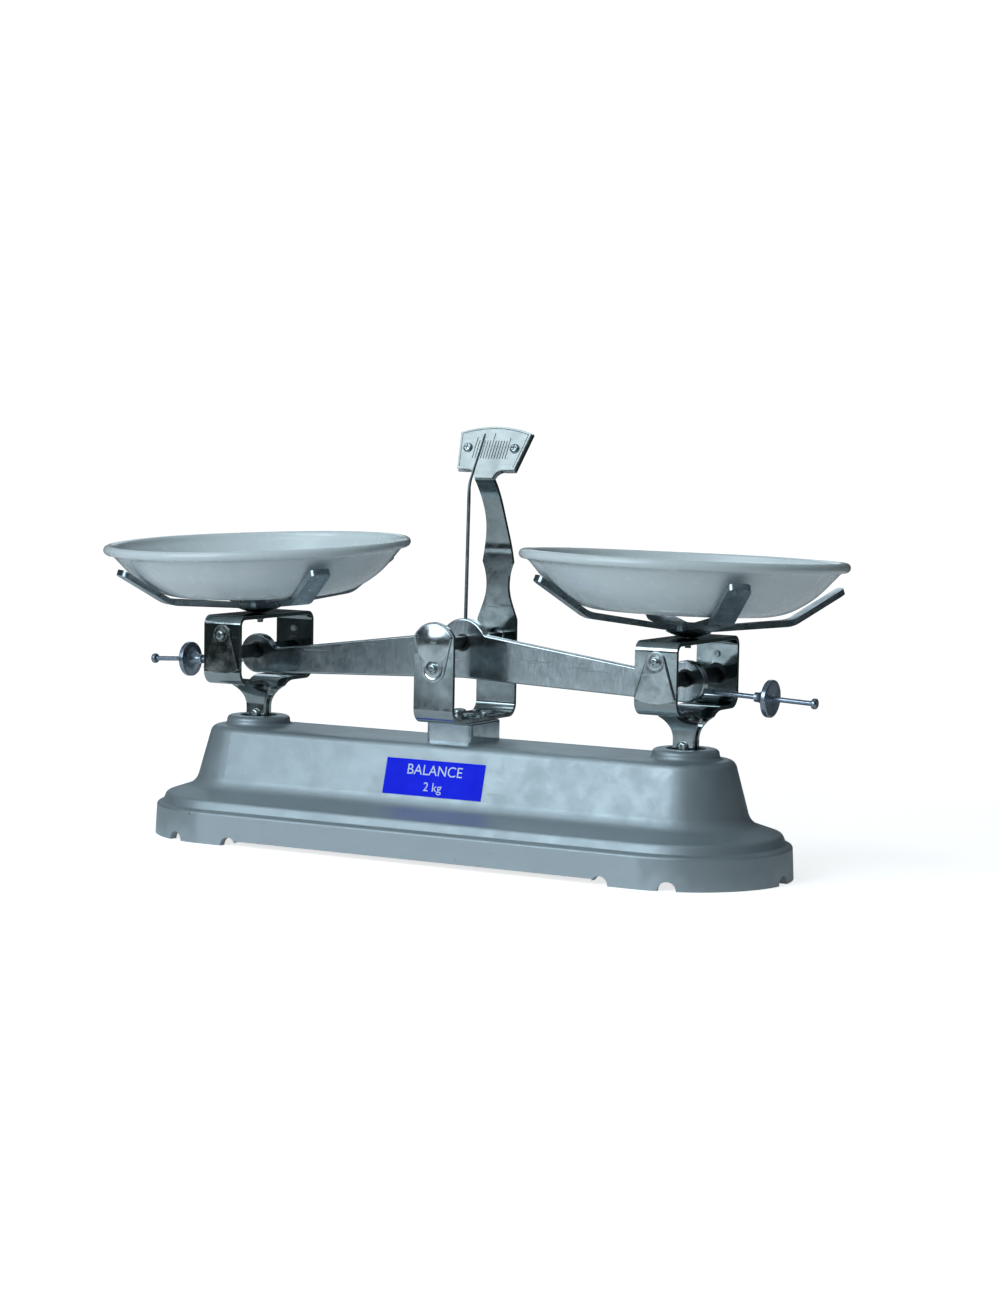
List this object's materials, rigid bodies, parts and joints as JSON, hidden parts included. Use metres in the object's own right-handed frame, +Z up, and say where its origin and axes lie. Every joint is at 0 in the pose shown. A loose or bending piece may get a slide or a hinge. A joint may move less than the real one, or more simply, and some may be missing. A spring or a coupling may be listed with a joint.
{
  "type": "table balance",
  "caption": "Two-pan table balance: beam on knife edges with a pointer and scale, lift-off dishes on spiders, cast base with a hidden lower stay.",
  "frame": {"origin": "on the table, at the middle of the base", "axes": "+Z up, X along the beam with +X to the user's right, -Y towards the user"},
  "size_m": [0.4076, 0.1629, 0.2152],
  "materials": {
    "base_paint": "silver-grey hammer-free spray paint, satin",
    "block_plate": "dull plated casting",
    "label_film": "blue printed film",
    "plated_steel": "nickel plated, polished",
    "beam_steel": "plated, finely brushed",
    "dark_steel": "hardened, oiled",
    "screw_steel": "plated",
    "zinc_steel": "zinc plated, turned",
    "pointer_steel": "drawn wire",
    "scale_aluminium": "matt, engraved",
    "spider_steel": "plated sheet",
    "dish_white": "white, glossy",
    "stay_steel": "plain steel"
  },
  "bodies": {
    "base": {"base_casting": "base_paint", "centre_block": "block_plate", "label": "label_film", "fork_post": "plated_steel", "fork_bearing_front": "dark_steel", "fork_bearing_back": "dark_steel", "fork_cover_front": "plated_steel", "fork_cover_back": "plated_steel", "fork_cover_screw_front": "screw_steel", "fork_cover_screw_back": "screw_steel", "floor_screws": "screw_steel", "floor_nuts": "screw_steel", "scale_plate": "scale_aluminium", "scale_screws": "screw_steel", "stay_hanger": "stay_steel", "stay_pivot": "stay_steel"},
    "beam": {"beam": "beam_steel", "centre_knife": "dark_steel", "end_knife_left": "dark_steel", "end_knife_right": "dark_steel", "pointer": "pointer_steel", "balance_screw_left": "zinc_steel", "balance_screw_right": "zinc_steel"},
    "stay": {"lower_stay": "stay_steel", "stay_pin_left": "stay_steel", "stay_pin_right": "stay_steel"},
    "yoke_left": {"yoke_left": "plated_steel", "yoke_left_bearing_front": "dark_steel", "yoke_left_bearing_back": "dark_steel", "yoke_left_cover_front": "plated_steel", "yoke_left_cover_back": "plated_steel", "yoke_left_screw_front": "screw_steel", "yoke_left_screw_back": "screw_steel", "stem_bar_left": "stay_steel", "stem_screw_left": "screw_steel", "hub_screw_left": "screw_steel", "hub_nut_left": "screw_steel"},
    "spider_left": {"spider_left": "spider_steel", "hub_washer_left": "spider_steel"},
    "pan_left": {"pan_left": "dish_white"},
    "nut_left": {"balance_nut_left": "zinc_steel"},
    "yoke_right": {"yoke_right": "plated_steel", "yoke_right_bearing_front": "dark_steel", "yoke_right_bearing_back": "dark_steel", "yoke_right_cover_front": "plated_steel", "yoke_right_cover_back": "plated_steel", "yoke_right_screw_front": "screw_steel", "yoke_right_screw_back": "screw_steel", "stem_bar_right": "stay_steel", "stem_screw_right": "screw_steel", "hub_screw_right": "screw_steel", "hub_nut_right": "screw_steel"},
    "spider_right": {"spider_right": "spider_steel", "hub_washer_right": "spider_steel"},
    "pan_right": {"pan_right": "dish_white"},
    "nut_right": {"balance_nut_right": "zinc_steel"}
  },
  "joints": [
    {"name": "beam_swing", "type": "hinge", "parent": "base", "child": "beam", "pos_m": [0, 0, 0.1035], "axis": [0, 1, 0], "range_deg": [-5, 5]},
    {"name": "stay_swing", "type": "hinge", "parent": "base", "child": "stay", "pos_m": [0, 0, 0.034], "axis": [0, 1, 0], "range_deg": [-5, 5]},
    {"name": "yoke_left_hang", "type": "hinge", "parent": "beam", "child": "yoke_left", "pos_m": [-0.125, 0, 0.0995], "axis": [0, 1, 0], "range_deg": [-5, 5]},
    {"name": "spider_left_turn", "type": "hinge", "parent": "yoke_left", "child": "spider_left", "pos_m": [-0.125, 0, 0.11595], "axis": [-0.026, -0.0449, 0.9987], "continuous": true},
    {"name": "pan_left_lift", "type": "slide", "parent": "spider_left", "child": "pan_left", "axis": [-0.025, -0.04, 0.9989], "range_m": [0, 0.12]},
    {"name": "nut_left_travel", "type": "slide", "parent": "beam", "child": "nut_left", "axis": [-0.999, 0, -0.0436], "range_m": [-0.022, 0.018]},
    {"name": "yoke_right_hang", "type": "hinge", "parent": "beam", "child": "yoke_right", "pos_m": [0.125, 0, 0.0995], "axis": [0, 1, 0], "range_deg": [-5, 5]},
    {"name": "spider_right_turn", "type": "hinge", "parent": "yoke_right", "child": "spider_right", "pos_m": [0.125, 0, 0.11595], "axis": [-0.004, 0.0599, 0.9982], "continuous": true},
    {"name": "pan_right_lift", "type": "slide", "parent": "spider_right", "child": "pan_right", "axis": [0.0145, 0.0325, 0.9994], "range_m": [0, 0.12]},
    {"name": "nut_right_travel", "type": "slide", "parent": "beam", "child": "nut_right", "axis": [0.999, 0, -0.0436], "range_m": [-0.022, 0.018]}
  ],
  "couplings": [
    {"joint": "stay_swing", "follows": "beam_swing", "ratio": 1},
    {"joint": "yoke_left_hang", "follows": "beam_swing", "ratio": -1},
    {"joint": "yoke_right_hang", "follows": "beam_swing", "ratio": -1}
  ]
}
